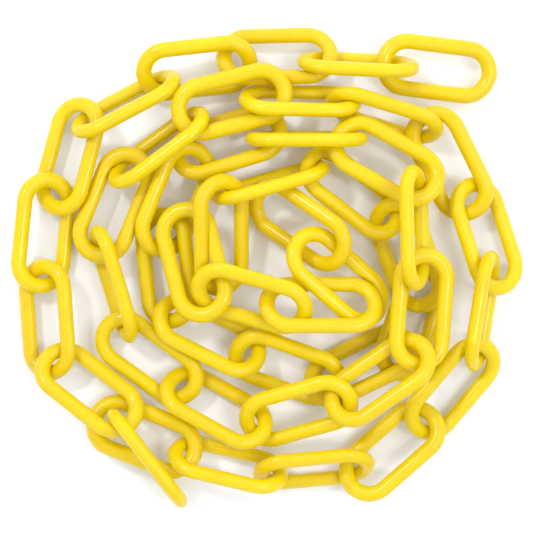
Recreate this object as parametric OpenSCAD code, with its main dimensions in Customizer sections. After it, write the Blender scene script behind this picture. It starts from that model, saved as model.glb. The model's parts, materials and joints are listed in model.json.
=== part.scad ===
// Loose coil of plastic barrier chain, 48 closed links.
// The coil lies on z = 0. The chain starts at the outer free end, runs
// round the outside and spirals inwards to the inner free end.

/* [Link] */
// Outer length of one link
link_l = 55; // [53.5:0.5:55]
// Outer width of one link
link_w = 28; // [27.5:0.5:28]
// Thickness of the round rod that each link is moulded from
rod_d = 5.9; // [4:0.1:5.9]

/* [Coil] */
// Size of one step of the floor grid that the links are laid out on
grid = 0.45; // [0.445:0.005:0.45]
// Height of the whole coil above the floor
coil_lift = 0; // [0:0.5:20]

/* [Looks] */
// Colour of the plastic
link_color = "gold"; // [gold, red, white, black]

/* [Hidden] */
$fn = 48;

// The grid point that the coil is centred on
mid = [268.7, 266.4];

// Radius of a link's end, on the rod's middle line
end_r = (link_w - rod_d) / 2;
// Half the straight part of a link
half_s = (link_l - link_w) / 2;

// How each link lies: grid column, grid row (rows count down from the far
// side), heading of its long axis in degrees, height of its middle in mm,
// how far its leading end is tipped up, how far its left bar is rolled up.
// Neighbours are rolled opposite ways, so that each passes over one bar of
// the next link and under the other.
LAY = [
    [437, 68, 173, 10, 2, -8],   // link_01
    [358, 65, 177, 13.6, 0, 70],   // link_02
    [277, 56, -179, 10.5, -2, 20],   // link_03
    [197, 68, -173, 11.2, 3, -32],   // link_04
    [126, 104, -152, 12.8, 0, 62],   // link_05
    [69, 156, -105, 9.6, -1, 26],   // link_06
    [43, 233, -96, 9.2, -2, -30],   // link_07
    [46, 320, -86, 9, 0, 28],   // link_08
    [90, 389, -37, 14.5, 7, -30],   // link_09
    [148, 457, -53, 16.8, -6, 80],   // link_10
    [144, 437, -21, 9.8, 6, -11],   // link_11
    [228, 464, -13, 13.5, 2, -60],   // link_12
    [314, 469, 5, 12.6, -2, 55],   // link_13
    [392, 451, 41, 11, -1, -22],   // link_14
    [453, 389, 50, 10.4, 2, 26],   // link_15
    [482, 311, 81, 13.6, 1, 70],   // link_16
    [487, 236, 108, 10.5, 0, 25],   // link_17
    [449, 164, 117, 12.3, 4, -22],   // link_18
    [384, 116, 163, 14, 2, -68],   // link_19
    [300, 102, 179, 17, 3, 62],   // link_20
    [232, 104, -166, 19.7, -1, -6],   // link_21
    [159, 148, -144, 15.2, -5, 62],   // link_22
    [114, 205, -112, 11.2, 1, 8],   // link_23
    [114, 284, -73, 13.9, 0, 72],   // link_24
    [149, 359, -36, 9.3, -1, 14],   // link_25
    [216, 407, -28, 12.2, 9, -38],   // link_26
    [298, 410, 17, 17.6, 13, 22],   // link_27
    [377, 377, 35, 26, 6, -32],   // link_28
    [418, 309, 86, 26.9, 3, 14],   // link_29
    [410, 229, 91, 31.7, -2, 66],   // link_30
    [384, 163, 150, 24.6, -7, 10],   // link_31
    [306, 140, 179, 17.8, -8, 82],   // link_32
    [228, 142, -163, 10.8, -2, 20],   // link_33
    [176, 199, -112, 12.7, 0, -28],   // link_34
    [166, 268, -84, 10.6, 3, 22],   // link_35
    [210, 335, -27, 13, -4, -33],   // link_36
    [287, 368, -20, 9.2, -2, 24],   // link_37
    [361, 366, 26, 9.6, 3, -32],   // link_38
    [413, 323, 71, 8.4, 0, 28],   // link_39
    [408, 255, 110, 9.2, 3, -30],   // link_40
    [353, 193, 143, 11.8, 6, 28],   // link_41
    [271, 183, -164, 15.1, 2, 76],   // link_42
    [222, 236, -90, 19.4, -11, -34],   // link_43
    [195, 262, -75, 22.5, 9, 8],   // link_44
    [252, 298, -16, 26.9, 0, 34],   // link_45
    [320, 304, 0, 24.3, -5, -32],   // link_46
    [337, 277, 139, 21.5, 11, 22],   // link_47
    [299, 225, 145, 17, -19, -30]   // link_48
];

// One straight bar of a link
module bar(side) {
    translate([-half_s, side * end_r, 0])
        rotate([0, 90, 0]) cylinder(d = rod_d, h = 2 * half_s);
}

// One rounded end of a link
module bow(turn) {
    rotate([0, 0, turn]) translate([half_s, 0, 0]) rotate([0, 0, -90])
        rotate_extrude(angle = 180) translate([end_r, 0]) circle(d = rod_d);
}

// A closed link about its own middle, long axis along X
module ring() {
    union() {
        bar(1);
        bar(-1);
        bow(0);
        bow(180);
    }
}

// Link number k, counted from 0 at the outer free end, where it lies
module chain_link(k) {
    p = LAY[k];
    color(link_color)
        translate([(p[0] - mid[0]) * grid, (mid[1] - p[1]) * grid, p[3] + coil_lift])
            rotate([0, 0, p[2]]) rotate([0, -p[4], 0]) rotate([p[5], 0, 0]) ring();
}

chain_link(0);  // link_01
chain_link(1);  // link_02
chain_link(2);  // link_03
chain_link(3);  // link_04
chain_link(4);  // link_05
chain_link(5);  // link_06
chain_link(6);  // link_07
chain_link(7);  // link_08
chain_link(8);  // link_09
chain_link(9);  // link_10
chain_link(10);  // link_11
chain_link(11);  // link_12
chain_link(12);  // link_13
chain_link(13);  // link_14
chain_link(14);  // link_15
chain_link(15);  // link_16
chain_link(16);  // link_17
chain_link(17);  // link_18
chain_link(18);  // link_19
chain_link(19);  // link_20
chain_link(20);  // link_21
chain_link(21);  // link_22
chain_link(22);  // link_23
chain_link(23);  // link_24
chain_link(24);  // link_25
chain_link(25);  // link_26
chain_link(26);  // link_27
chain_link(27);  // link_28
chain_link(28);  // link_29
chain_link(29);  // link_30
chain_link(30);  // link_31
chain_link(31);  // link_32
chain_link(32);  // link_33
chain_link(33);  // link_34
chain_link(34);  // link_35
chain_link(35);  // link_36
chain_link(36);  // link_37
chain_link(37);  // link_38
chain_link(38);  // link_39
chain_link(39);  // link_40
chain_link(40);  // link_41
chain_link(41);  // link_42
chain_link(42);  // link_43
chain_link(43);  // link_44
chain_link(44);  // link_45
chain_link(45);  // link_46
chain_link(46);  // link_47
chain_link(47);  // link_48
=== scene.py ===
"""Loose coil of yellow plastic barrier chain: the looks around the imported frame."""

import json
import math
import bpy
import numpy as np
from mathutils import Matrix, Vector
from mathutils.kdtree import KDTree

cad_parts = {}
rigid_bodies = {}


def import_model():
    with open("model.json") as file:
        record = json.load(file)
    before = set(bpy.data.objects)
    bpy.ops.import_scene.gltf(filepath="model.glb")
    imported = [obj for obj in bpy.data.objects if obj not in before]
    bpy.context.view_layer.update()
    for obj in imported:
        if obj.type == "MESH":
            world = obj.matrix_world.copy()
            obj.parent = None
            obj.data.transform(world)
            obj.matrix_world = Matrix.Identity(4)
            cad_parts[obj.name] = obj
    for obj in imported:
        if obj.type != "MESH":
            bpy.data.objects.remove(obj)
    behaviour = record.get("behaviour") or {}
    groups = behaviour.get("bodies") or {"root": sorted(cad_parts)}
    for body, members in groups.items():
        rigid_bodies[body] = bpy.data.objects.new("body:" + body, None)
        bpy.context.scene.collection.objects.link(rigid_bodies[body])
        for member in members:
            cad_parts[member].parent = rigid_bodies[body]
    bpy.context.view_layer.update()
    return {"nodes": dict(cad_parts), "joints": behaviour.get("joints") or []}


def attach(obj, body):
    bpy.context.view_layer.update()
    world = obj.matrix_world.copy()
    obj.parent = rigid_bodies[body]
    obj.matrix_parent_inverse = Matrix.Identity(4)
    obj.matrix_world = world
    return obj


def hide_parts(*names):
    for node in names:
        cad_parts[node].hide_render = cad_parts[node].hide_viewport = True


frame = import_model()
bpy.context.scene.view_settings.view_transform = "Standard"
bpy.context.scene.view_settings.look = "None"
bpy.context.scene.view_settings.gamma = 1.12

# ------------------------------------------------------------------ camera
GRID = 0.00045                 # one step of the coil's layout grid, in metres
VIEW_Z = 0.012                 # height at which the framing is set
CAM_H = 0.62                   # camera above that height
cam_data = bpy.data.cameras.new("camera")
cam_data.sensor_fit = "HORIZONTAL"
cam_data.sensor_width = 36.0
cam_data.lens = 36.0 * CAM_H / (533 * GRID)
cam_data.clip_start = 0.01
cam_data.clip_end = 20.0
cam = bpy.data.objects.new("camera", cam_data)
bpy.context.scene.collection.objects.link(cam)
cam.location = (-0.0010, -0.0003, VIEW_Z + CAM_H)
cam.rotation_euler = (0.0, 0.0, 0.0)
bpy.context.scene.camera = cam

# --------------------------------------------------------------- materials
def plastic(name, tone, rough):
    """Moulded polyethylene: soft gloss, a little light under the skin,
    flow marks, fine orange peel, dulled handling patches and hair scratches."""
    m = bpy.data.materials.new(name)
    m.use_nodes = True
    nt = m.node_tree
    nt.nodes.clear()
    N = nt.nodes.new
    out = N("ShaderNodeOutputMaterial")
    bsdf = N("ShaderNodeBsdfPrincipled")
    nt.links.new(bsdf.outputs["BSDF"], out.inputs["Surface"])
    tc = N("ShaderNodeTexCoord")

    def noise(scale, detail, rough_, dist=0.0):
        n = N("ShaderNodeTexNoise")
        n.inputs["Scale"].default_value = scale
        n.inputs["Detail"].default_value = detail
        n.inputs["Roughness"].default_value = rough_
        n.inputs["Distortion"].default_value = dist
        nt.links.new(tc.outputs["Object"], n.inputs["Vector"])
        return n

    # broad variation of the pigment
    n1 = noise(26.0, 3.0, 0.5, 0.4)
    ramp = N("ShaderNodeValToRGB")
    r, g, b = tone
    ramp.color_ramp.elements[0].position = 0.30
    ramp.color_ramp.elements[0].color = (r * 0.955, g * 0.925, b * 0.8, 1)
    ramp.color_ramp.elements[1].position = 0.72
    ramp.color_ramp.elements[1].color = (min(r * 1.02, 1), min(g * 1.035, 1), b * 1.25, 1)
    nt.links.new(n1.outputs["Fac"], ramp.inputs["Fac"])
    # fine flow marks
    n2 = noise(170.0, 5.0, 0.62, 1.2)
    r2 = N("ShaderNodeValToRGB")
    r2.color_ramp.elements[0].position = 0.38
    r2.color_ramp.elements[0].color = (0.94, 0.925, 0.86, 1)
    r2.color_ramp.elements[1].position = 0.60
    r2.color_ramp.elements[1].color = (1, 1, 1, 1)
    nt.links.new(n2.outputs["Fac"], r2.inputs["Fac"])
    mix = N("ShaderNodeMix")
    mix.data_type = "RGBA"
    mix.blend_type = "MULTIPLY"
    mix.inputs[0].default_value = 0.75
    nt.links.new(ramp.outputs["Color"], mix.inputs[6])
    nt.links.new(r2.outputs["Color"], mix.inputs[7])
    nt.links.new(mix.outputs[2], bsdf.inputs["Base Color"])
    # roughness: dull patches where the chain is handled
    n3 = noise(60.0, 4.0, 0.6, 0.6)
    mr = N("ShaderNodeMapRange")
    mr.inputs["From Min"].default_value = 0.3
    mr.inputs["From Max"].default_value = 0.75
    mr.inputs["To Min"].default_value = rough
    mr.inputs["To Max"].default_value = rough + 0.13
    nt.links.new(n3.outputs["Fac"], mr.inputs["Value"])
    nt.links.new(mr.outputs["Result"], bsdf.inputs["Roughness"])
    # surface: orange peel, then hair scratches
    n4 = noise(900.0, 3.0, 0.55)
    b1 = N("ShaderNodeBump")
    b1.inputs["Strength"].default_value = 0.16
    b1.inputs["Distance"].default_value = 0.00006
    nt.links.new(n4.outputs["Fac"], b1.inputs["Height"])
    mp = N("ShaderNodeMapping")
    mp.inputs["Scale"].default_value = (1.0, 9.0, 4.0)
    mp.inputs["Rotation"].default_value = (0.2, 0.1, 0.7)
    nt.links.new(tc.outputs["Object"], mp.inputs["Vector"])
    n5 = N("ShaderNodeTexNoise")
    n5.inputs["Scale"].default_value = 240.0
    n5.inputs["Detail"].default_value = 4.0
    n5.inputs["Roughness"].default_value = 0.7
    nt.links.new(mp.outputs["Vector"], n5.inputs["Vector"])
    b2 = N("ShaderNodeBump")
    b2.inputs["Strength"].default_value = 0.10
    b2.inputs["Distance"].default_value = 0.00005
    nt.links.new(n5.outputs["Fac"], b2.inputs["Height"])
    nt.links.new(b1.outputs["Normal"], b2.inputs["Normal"])
    nt.links.new(b2.outputs["Normal"], bsdf.inputs["Normal"])
    bsdf.inputs["IOR"].default_value = 1.50
    bsdf.inputs["Specular IOR Level"].default_value = 0.20
    bsdf.inputs["Subsurface Weight"].default_value = 0.45
    bsdf.inputs["Subsurface Radius"].default_value = (1.0, 0.45, 0.08)
    bsdf.inputs["Subsurface Scale"].default_value = 0.0030
    bsdf.inputs["Coat Weight"].default_value = 0.18
    bsdf.inputs["Coat Roughness"].default_value = 0.11
    return m


TONES = [
    plastic("yellow_plastic_a", (0.765, 0.568, 0.0008), 0.30),
    plastic("yellow_plastic_b", (0.775, 0.588, 0.0008), 0.27),
    plastic("yellow_plastic_c", (0.765, 0.552, 0.0008), 0.33),
]

# ------------------------------------------------------------- link shape
LINK_L, LINK_W, ROD = 0.055, 0.028, 0.0059


def pose_of(obj):
    """Middle and axes (long, wide, thin) of a packed link, from the second
    moments of its surface."""
    me = obj.data
    me.calc_loop_triangles()
    v = np.empty(len(me.vertices) * 3)
    me.vertices.foreach_get("co", v)
    v = v.reshape(-1, 3)
    t = np.empty(len(me.loop_triangles) * 3, dtype=np.int64)
    me.loop_triangles.foreach_get("vertices", t)
    t = t.reshape(-1, 3)
    a, b, c = v[t[:, 0]], v[t[:, 1]], v[t[:, 2]]
    area = np.linalg.norm(np.cross(b - a, c - a), axis=1) / 2
    mid = (a + b + c) / 3
    w = area / area.sum()
    cen = (w[:, None] * mid).sum(0)
    cov = np.zeros((3, 3))
    for p in (a, b, c, mid):
        q = p - cen
        k = 0.75 if p is mid else 1.0 / 12
        cov += k * (q * w[:, None]).T @ q
    val, vec = np.linalg.eigh(cov)
    x, y = vec[:, 2], vec[:, 1]
    if x[0] + 0.37 * x[1] < 0:
        x = -x
    z = np.cross(x, y)
    if z[2] < 0:
        y, z = -y, -z
    return cen, np.column_stack([x, y, z])


RIN, RTH = 0.00345, 0.00312        # the rod is oval: half width in the link's plane, half thickness
GAP = 0.00003                      # least air kept to the surface halfway to the next rod


def loop_path(er, nb, ns):
    """Points round one link's rod, with the outward direction in its plane."""
    hs = (LINK_L - LINK_W) / 2
    path = []
    for i in range(ns):
        path.append((-hs + 2 * hs * i / ns, -er, 0.0, -1.0))
    for i in range(nb):
        a = -math.pi / 2 + math.pi * i / nb
        path.append((hs + er * math.cos(a), er * math.sin(a), math.cos(a), math.sin(a)))
    for i in range(ns):
        path.append((hs - 2 * hs * i / ns, er, 0.0, 1.0))
    for i in range(nb):
        a = math.pi / 2 + math.pi * i / nb
        path.append((-hs + er * math.cos(a), er * math.sin(a), math.cos(a), math.sin(a)))
    return np.array(path)


def near(points, line):
    """Distance of each point to the closest of the line's points, and which."""
    best = np.full(len(points), 1e9)
    arg = np.zeros(len(points), dtype=np.int64)
    for s in range(0, len(points), 800):
        d = ((points[s:s + 800, None, :] - line[None]) ** 2).sum(2)
        k = d.argmin(1)
        best[s:s + 800] = np.sqrt(d[np.arange(len(k)), k])
        arg[s:s + 800] = k
    return best, arg


def turn(joint, deg):
    """What a hinge does to its child at that angle."""
    p = Vector(joint["pos_m"])
    r = Matrix.Rotation(math.radians(deg), 4, Vector(joint["axis"]))
    return np.array(Matrix.Translation(p) @ r @ Matrix.Translation(-p))


def limit_poses(names, joints):
    """Where every body stands with one hinge, or all of them, at a limit."""
    by_child = {j["child"]: j for j in joints}
    sets = []
    for k in (0, 1):
        sets += [{j["name"]: j["range_deg"][k]} for j in joints]
        sets.append({j["name"]: j["range_deg"][k] for j in joints})
    out = []
    for values in sets:
        place = {}

        def where(n):
            if n not in place:
                j = by_child.get(n)
                if j is None:
                    place[n] = np.eye(4)
                else:
                    place[n] = where(j["parent"]) @ turn(j, values.get(j["name"], 0.0))
            return place[n]

        out.append({n: where(n) for n in names})
    return out


def rods_nearby(node, close, lines, poses):
    """Middle lines of the rods that come close to this link, at rest and at
    every limit, as seen from the link. Returned as a search tree."""
    own = lines[node]
    pts = []
    for o in close:
        d, _ = near(lines[o], own)
        q = lines[o][d < 0.0095]
        if not len(q):
            continue
        pts.append(q)
        for p in poses:
            rel = np.linalg.inv(p[node]) @ p[o]
            if np.abs(rel - np.eye(4)).max() > 1e-7:
                pts.append(q @ rel[:3, :3].T + rel[:3, 3])
    if not pts:
        return None
    pts = np.vstack(pts)
    tree = KDTree(len(pts))
    for i, q in enumerate(pts.tolist()):
        tree.insert(q, i)
    tree.balance()
    return tree


def make_way(verts, own, tree):
    """Where two rods meet, at rest or at a hinge's limit, each keeps to its
    own half of the room between them."""
    if tree is None:
        return verts
    d_own, k = near(verts, own)
    d_oth = np.array([tree.find(v)[2] for v in verts.tolist()])
    hit = np.where(d_own > d_oth - 2 * GAP)[0]
    if not len(hit):
        return verts
    c = own[k[hit]]
    v = verts[hit] - c
    lo_s, hi_s = np.full(len(hit), 0.5), np.ones(len(hit))
    for _ in range(8):
        mid = (lo_s + hi_s) / 2
        d_oth = np.array([tree.find(q)[2] for q in (c + v * mid[:, None]).tolist()])
        bad = d_own[hit] * mid > d_oth - 2 * GAP
        hi_s = np.where(bad, mid, hi_s)
        lo_s = np.where(bad, lo_s, mid)
    verts = verts.copy()
    verts[hit] = c + v * lo_s[:, None]
    return verts


def link_mesh(name, cen, rot, seed, own, tree):
    """One moulded link: oval rod, parting ridge, gate stub and weld line."""
    er = LINK_W / 2 - RIN
    hs = (LINK_L - LINK_W) / 2
    path = loop_path(er, 40, 24)
    deg = [0, 2.2, 4.6, 9, 18, 30, 44, 60, 76, 90, 104, 120, 136, 150, 162, 171, 175.4, 177.8]
    ang = deg + [180 + d for d in deg]
    rng = np.random.default_rng(seed)
    wob = rng.uniform(-1, 1, 6)
    flip = 1 if seed % 2 else -1
    verts, faces = [], []
    m, k = len(path), len(ang)
    for i, (px, py, nx, ny) in enumerate(path):
        s = i / m * 2 * math.pi
        sway = 0.00004 * (wob[0] * math.sin(s) + wob[1] * math.sin(2 * s + wob[2]))
        # gate stub in the middle of one bow, weld line across from it
        dg = math.hypot(px - flip * (hs + er), py)
        dw = abs(px + flip * 0.004) if py < 0 else 1.0
        for d in ang:
            t = math.radians(d)
            ca, sa = math.cos(t), math.sin(t)
            r = 1.0 / math.sqrt((ca / RIN) ** 2 + (sa / RTH) ** 2)
            edge = min(d, abs(180 - d), 360 - d)
            r += 0.00008 * math.exp(-(edge / 3.6) ** 2)          # parting ridge
            if edge == min(d, 360 - d):
                r += 0.00020 * math.exp(-(dg / 0.0010) ** 2 - (edge / 20.0) ** 2)
            r -= 0.000045 * math.exp(-(dw / 0.0005) ** 2)
            u = r * ca
            verts.append((px + nx * u, py + ny * u, r * sa + sway))
    for i in range(m):
        j = (i + 1) % m
        for q in range(k):
            p = (q + 1) % k
            faces.append((i * k + q, j * k + q, j * k + p, i * k + p))
    w = make_way(np.array(verts) @ rot.T + cen, own, tree)
    w[:, 2] = np.maximum(w[:, 2], 0.0)          # the lowest rods rest flat on the floor
    me = bpy.data.meshes.new(name)
    me.from_pydata([tuple(c) for c in w], [], faces)
    me.validate()
    # outward faces
    tot = 0.0
    for f in me.polygons:
        tot += f.center.dot(f.normal) * f.area - Vector(cen).dot(f.normal) * f.area
    if tot < 0:
        me.flip_normals()
    for f in me.polygons:
        f.use_smooth = True
    me.update()
    return me


nodes = sorted(frame["nodes"])
fits, lines = {}, {}
rod_line = loop_path((LINK_W - ROD) / 2, 80, 50)
for node in nodes:
    src = frame["nodes"][node]
    src = src if hasattr(src, "data") else bpy.data.objects[node]
    cen, rot = pose_of(src)
    fits[node] = (cen, rot)
    flat = np.column_stack([rod_line[:, 0], rod_line[:, 1], np.zeros(len(rod_line))])
    lines[node] = flat @ rot.T + cen
poses = limit_poses(nodes, frame["joints"])
for idx, node in enumerate(nodes):
    cen, rot = fits[node]
    close = [o for o in nodes if o != node and np.linalg.norm(fits[o][0] - cen) < 0.064]
    tree = rods_nearby(node, close, lines, poses)
    mesh = link_mesh(node + "_moulded", cen, rot, idx + 3, lines[node], tree)
    piece = bpy.data.objects.new(node + "_moulded", mesh)
    bpy.context.scene.collection.objects.link(piece)
    piece.data.materials.append(TONES[(idx * 7 + idx // 5) % 3])
    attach(piece, node)
    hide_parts(node)

# -------------------------------------------------------------------- stage
me = bpy.data.meshes.new("floor")
R = 4.0
me.from_pydata([(-R, -R, 0), (R, -R, 0), (R, R, 0), (-R, R, 0)], [], [(0, 1, 2, 3)])
floor = bpy.data.objects.new("floor", me)
floor.location = (0, 0, -0.0002)
bpy.context.scene.collection.objects.link(floor)
fm = bpy.data.materials.new("floor_white")
fm.use_nodes = True
fb = fm.node_tree.nodes["Principled BSDF"]
fb.inputs["Base Color"].default_value = (0.90, 0.925, 1.0, 1)
fb.inputs["Roughness"].default_value = 0.9
floor.data.materials.append(fm)

world = bpy.data.worlds.new("studio")
bpy.context.scene.world = world
world.use_nodes = True
bg = world.node_tree.nodes["Background"]
bg.inputs["Color"].default_value = (0.97, 0.98, 1.0, 1)
bg.inputs["Strength"].default_value = 0.92


def softbox(name, loc, target, size, power, color=(1, 1, 1)):
    ld = bpy.data.lights.new(name, "AREA")
    ld.shape = "RECTANGLE"
    ld.size, ld.size_y = size
    ld.energy = power
    ld.color = color
    o = bpy.data.objects.new(name, ld)
    o.location = loc
    o.rotation_euler = (Vector(target) - Vector(loc)).to_track_quat("-Z", "Y").to_euler()
    bpy.context.scene.collection.objects.link(o)
    return o


softbox("key", (-0.55, 0.50, 0.95), (0, 0, 0.0), (0.20, 0.11), 4.3, (1.0, 0.985, 0.96))
softbox("fill", (0.65, 0.15, 0.90), (0, 0, 0.0), (0.5, 0.5), 2.2, (0.97, 0.985, 1.0))
softbox("strip", (0.42, -0.12, 0.85), (0, 0, 0.0), (0.05, 0.34), 1.7)
softbox("rear", (0.0, 0.85, 0.55), (0, 0, 0.0), (0.9, 0.25), 1.6)
